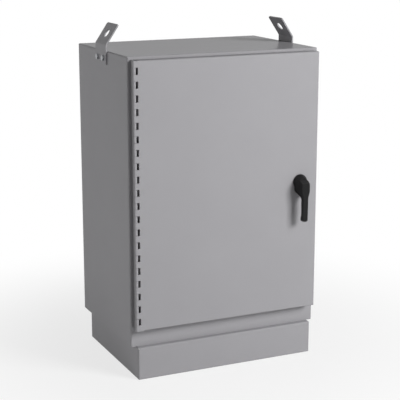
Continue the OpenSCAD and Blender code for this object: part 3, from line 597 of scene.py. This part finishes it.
# Heights of the lever are from the hub's axis and its reaches are out from the door, in mm
lever_top = 16.5
lever_tip = -146.5
lever_steps = 54
head_half_back = 26.6
head_half_front = 17
arm_half_back = 12.8
arm_half_front = 11.2
crown_foot = -10
crown_rise = 27
crown_share = 0.88
neck_top = -28.5
neck_foot = -58
tip_round = 6
head_back = 4.4
arm_back = 35.4
rear_top = -29
rear_foot = -64
foot_depth = 4
foot_top = -118
foot_low = -136
brow_reach = 18
brow_slope = 1.84
lever_reach = 50.2
sag_from = -60
sag = 2
lever_edge = 0.0028
edge_from = 0.002
cast_voxel = 0.001
fillet_factor = 0.5
fillet_rounds = 8


def black_casting(name):
    """Powder on a zinc casting: deep satin black with a fine sand texture, drawn at casting_mm."""
    finish, tree, shader, place = start_material(name)
    sand = add_node(tree, "ShaderNodeTexNoise",
                    {"Vector": (place, "Object"), "Scale": 1000 / casting_mm, "Detail": 2.0})
    tone = add_node(tree, "ShaderNodeMixRGB",
                    {"Fac": (sand, "Fac"), "Color1": linear(handle_deep),
                     "Color2": linear(handle_pale)})
    gloss = add_node(tree, "ShaderNodeMapRange",
                     {"Value": (sand, "Fac"), "To Min": 0.36, "To Max": 0.48})
    relief = add_node(tree, "ShaderNodeBump",
                      {"Height": (sand, "Fac"), "Strength": 0.15, "Distance": 0.0004})
    shader.inputs["Specular IOR Level"].default_value = 0.25
    tree.links.new(tone.outputs["Color"], shader.inputs["Base Color"])
    tree.links.new(gloss.outputs["Result"], shader.inputs["Roughness"])
    tree.links.new(relief.outputs["Normal"], shader.inputs["Normal"])
    return finish


def ease(height, start, end):
    """Share from 0 to 1 that leaves the start and meets the end without a corner."""
    share = min(max((height - start) / (end - start), 0), 1)
    return share * share * (3 - 2 * share)


def lever_section(height):
    """Half widths at the back and the front of the lever, and how far both are out, at a height."""
    crown = math.sqrt(1 - (max(height - crown_foot, 0) / crown_rise) ** 2)
    tip = tip_round - math.sqrt(tip_round ** 2 - max(lever_tip + tip_round - height, 0) ** 2)
    neck = ease(height, neck_top, neck_foot)
    half_back = (head_half_back + (arm_half_back - head_half_back) * neck) * crown - tip
    half_front = head_half_front + (arm_half_front - head_half_front) * neck - tip
    rear = (arm_back - head_back) * ease(height, rear_top, rear_foot)
    foot = foot_depth * ease(height, foot_top, foot_low)
    brow = brow_reach + brow_slope * (lever_top - height)
    face = lever_reach - sag * max(sag_from - height, 0) / (sag_from - lever_tip)
    half_front = min(half_front, crown_share * half_back)
    return half_back, half_front, head_back + rear - foot, min(brow, face)


cast_black = black_casting("black_coated_casting")
dress(cast_black, "handle_rose")

lever = turned(hub_profile, 64)
lever.location = (handle_x, door_face, handle_z)
lever.rotation_euler = towards_door
settle(lever)
lever.name = "handle_cast_lever"

bpy.ops.object.select_all(action="DESELECT")
lever_heights = [lever_top + (lever_tip - lever_top) * step / lever_steps
                 for step in range(lever_steps + 1)]
height = lever_top
half, _, back, front = lever_section(height)
bpy.ops.mesh.primitive_plane_add(size=1, location=(0, -(back + front) / 2 * mm, height * mm))
arm = bpy.context.object
arm.scale = (2 * half * mm, (front - back) * mm, 1)
settle(arm)
bpy.ops.object.mode_set(mode="EDIT")
bpy.ops.mesh.select_all(action="SELECT")
for next_height in lever_heights[1:]:
    next_half, _, next_back, next_front = lever_section(next_height)
    shift = (back + front - next_back - next_front) / 2
    bpy.ops.mesh.extrude_region_move(
        TRANSFORM_OT_translate={"value": (0, shift * mm, (next_height - height) * mm)})
    bpy.ops.transform.resize(
        value=(next_half / half, (next_front - next_back) / (front - back), 1),
        center_override=(0, -(next_back + next_front) / 2 * mm, next_height * mm))
    height, half, back, front = next_height, next_half, next_back, next_front
bpy.ops.object.mode_set(mode="OBJECT")
for height in lever_heights:
    half, half_front, back, front = lever_section(height)
    select_where(arm, "VERT", lambda spot: (
        abs(spot.z - height * mm) < same_spot and spot.y < -(back + front) / 2 * mm))
    bpy.ops.transform.resize(value=(half_front / half, 1, 1), center_override=(0, 0, 0))
    bpy.ops.object.mode_set(mode="OBJECT")
select_where(arm, "EDGE", lambda a, b: abs(a.z - b.z) > same_spot and max(a.z, b.z) < edge_from)
bpy.ops.mesh.bevel(offset=lever_edge, segments=3, profile=0.5)
bpy.ops.mesh.select_all(action="SELECT")
bpy.ops.mesh.normals_make_consistent(inside=False)
bpy.ops.object.mode_set(mode="OBJECT")
arm.location = (handle_x, door_face, handle_z)
settle(arm)
combine(lever, arm, "UNION")
cast = lever.modifiers.new("cast", "REMESH")
cast.mode = "VOXEL"
cast.voxel_size = cast_voxel
bpy.ops.object.modifier_apply(modifier=cast.name)
blend = lever.modifiers.new("fillets", "SMOOTH")
blend.factor = fillet_factor
blend.iterations = fillet_rounds
bpy.ops.object.modifier_apply(modifier=blend.name)
bore = turned([(bore_r_mm, 0), (bore_r_mm, bore_end_mm)], 48)
bore.location = (handle_x, door_face, handle_z)
bore.rotation_euler = towards_door
combine(lever, settle(bore), "DIFFERENCE")
stand_for(lever, "handle_lever", "handle", cast_black, 50)

# Studio. A pale floor that fades to white, a soft key light from the upper right of the door, two
# weak ones at the left and the back, and a fill from all round that is dim overhead. The lamps
# show in no gleam, so that the roof keeps its grey from every side.

floor_size = 30
floor_pale = "#E8E8E8"
shade_from = 0.4
shade_reach = 1.6
shade_share = 0.25
fill_level = 0.42
fill_zenith = 0.06
fill_turn = 0.55
# Name, place, aim and edge in metres, and power in watts
key_light = ("key_softbox", (2.86, -4.36, 3.01), (0, -0.279, 0.69), 2.2, 327)
side_light = ("side_softbox", (-3.4, 0.6, 1.3), (-0.381, 0.02, 0.69), 2.0, 22)
back_light = ("back_softbox", (1.4, 3.6, 0.8), (0, 0.279, 0.69), 2.0, 36)
sensor_mm = 36
lens_mm = 106.19
camera_spot = (-1.8611, -4.0629, 1.6588)
camera_down = 13.412
camera_turn = -24.694


def seen_directly(tree):
    """1 for what is seen itself, or in a gleam or a glass, and 0 for the light on the object."""
    path = add_node(tree, "ShaderNodeLightPath")
    plain = add_node(tree, "ShaderNodeMath",
                     {0: (path, "Is Camera Ray"), 1: (path, "Is Glossy Ray")}, operation="MAXIMUM")
    return add_node(tree, "ShaderNodeMath",
                    {0: (plain, "Value"), 1: (path, "Is Transmission Ray")}, operation="MAXIMUM")


bpy.ops.object.select_all(action="DESELECT")
bpy.ops.mesh.primitive_plane_add(size=floor_size)
floor = bpy.context.object
floor.name = "studio_floor"
paper, tree, shader, place = start_material("white_paper_floor")
shader.inputs["Base Color"].default_value = linear(floor_pale)
shader.inputs["Roughness"].default_value = 0.9
shader.inputs["Specular IOR Level"].default_value = 0.0
distance = add_node(tree, "ShaderNodeVectorMath", {0: (place, "Object")}, operation="LENGTH")
fade = add_node(tree, "ShaderNodeMapRange",
                {"Value": (distance, "Value"), "From Min": shade_from, "From Max": shade_reach,
                 "To Min": 1 - shade_share, "To Max": 1.0}, interpolation_type="SMOOTHSTEP")
seen = seen_directly(tree)
share = add_node(tree, "ShaderNodeMath",
                 {0: (seen, "Value"), 1: (fade, "Result")}, operation="MULTIPLY")
glow = add_node(tree, "ShaderNodeEmission", {"Color": (1, 1, 1, 1), "Strength": 1.0})
mixed = add_node(tree, "ShaderNodeMixShader",
                 {0: (share, "Value"), 1: (shader, "BSDF"), 2: (glow, "Emission")})
tree.links.new(mixed.outputs["Shader"], tree.nodes["Material Output"].inputs["Surface"])
floor.data.materials.append(paper)

world = bpy.data.worlds.new("studio_fill")
bpy.context.scene.world = world
world.use_nodes = True
tree = world.node_tree
fill = tree.nodes["Background"]
fill.inputs["Color"].default_value = (1, 1, 1, 1)
place = add_node(tree, "ShaderNodeTexCoord")
rise = add_node(tree, "ShaderNodeSeparateXYZ", {"Vector": (place, "Generated")})
dimming = add_node(tree, "ShaderNodeMapRange",
                   {"Value": (rise, "Z"), "From Min": 0.0, "From Max": fill_turn,
                    "To Min": fill_level, "To Max": fill_zenith}, interpolation_type="SMOOTHSTEP")
tree.links.new(dimming.outputs["Result"], fill.inputs["Strength"])
seen = seen_directly(tree)
white = add_node(tree, "ShaderNodeBackground", {"Color": (1, 1, 1, 1), "Strength": 1.0})
mixed = add_node(tree, "ShaderNodeMixShader",
                 {0: (seen, "Value"), 1: (fill, "Background"), 2: (white, "Background")})
tree.links.new(mixed.outputs["Shader"], tree.nodes["World Output"].inputs["Surface"])

for name, spot, target, edge, watts in (key_light, side_light, back_light):
    bpy.ops.object.light_add(type="AREA", location=spot)
    lamp = bpy.context.object
    lamp.name = name
    lamp.data.size = edge
    lamp.data.energy = watts
    lamp.visible_glossy = False
    x, y, z = [there - here for there, here in zip(target, spot)]
    lamp.rotation_euler = (math.atan2(math.hypot(x, y), -z), 0, math.atan2(-x, y))

bpy.ops.object.camera_add(
    location=camera_spot, rotation=(math.radians(90 - camera_down), 0, math.radians(camera_turn)))
camera = bpy.context.object
camera.data.lens = lens_mm
camera.data.sensor_width = sensor_mm
bpy.context.scene.camera = camera
bpy.context.scene.view_settings.view_transform = "Standard"
